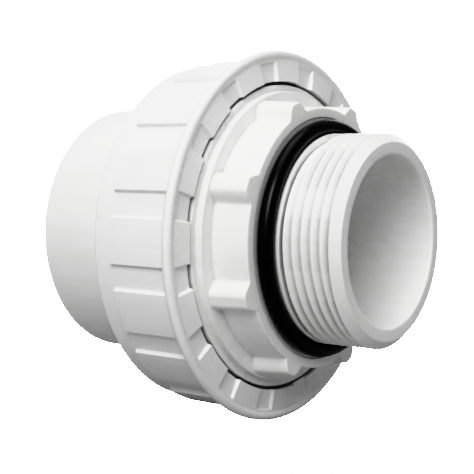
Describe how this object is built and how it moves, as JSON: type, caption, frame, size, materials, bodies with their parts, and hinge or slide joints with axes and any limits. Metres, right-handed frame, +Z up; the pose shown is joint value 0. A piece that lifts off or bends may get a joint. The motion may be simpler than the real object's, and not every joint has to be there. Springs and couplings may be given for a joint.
{
  "type": "pipe union",
  "caption": "Barrel union for pipe: male threaded adaptor with seat O-ring, slip-socket tailpiece and ribbed union nut that screws off to part the joint.",
  "frame": {"origin": "where the pipe axis meets the seat, the front face of the wrench boss that closes on a pump or tank wall", "axes": "+X along the pipe axis, out through the male thread; -X out through the pipe socket; +Z up"},
  "size_m": [0.0782, 0.0866, 0.0866],
  "materials": {
    "adaptor_pvc": "satin white moulded PVC",
    "nut_pvc": "satin white moulded PVC",
    "tailpiece_pvc": "satin white moulded PVC",
    "rubber": "smooth black EPDM, lightly greased"
  },
  "bodies": {
    "adaptor": {"threaded_adaptor": "adaptor_pvc", "port_o_ring": "rubber"},
    "seal": {"face_o_ring": "rubber"},
    "tailpiece": {"tailpiece": "tailpiece_pvc"},
    "nut": {"union_nut": "nut_pvc"}
  },
  "joints": [
    {"name": "draw_back", "type": "slide", "parent": "adaptor", "child": "seal", "axis": [-1, 0, 0], "range_m": [0, 0.0105]},
    {"name": "nut_turn", "type": "hinge", "parent": "seal", "child": "nut", "pos_m": [-0.022, 0, 0], "axis": [-1, 0, 0], "range_deg": [0, 1260]},
    {"name": "tail_swivel", "type": "hinge", "parent": "seal", "child": "tailpiece", "pos_m": [-0.0265, 0, 0], "axis": [-1, 0, 0], "continuous": true}
  ],
  "couplings": [
    {"joint": "draw_back", "follows": "nut_turn", "m_per_rad": 0.00047746}
  ]
}
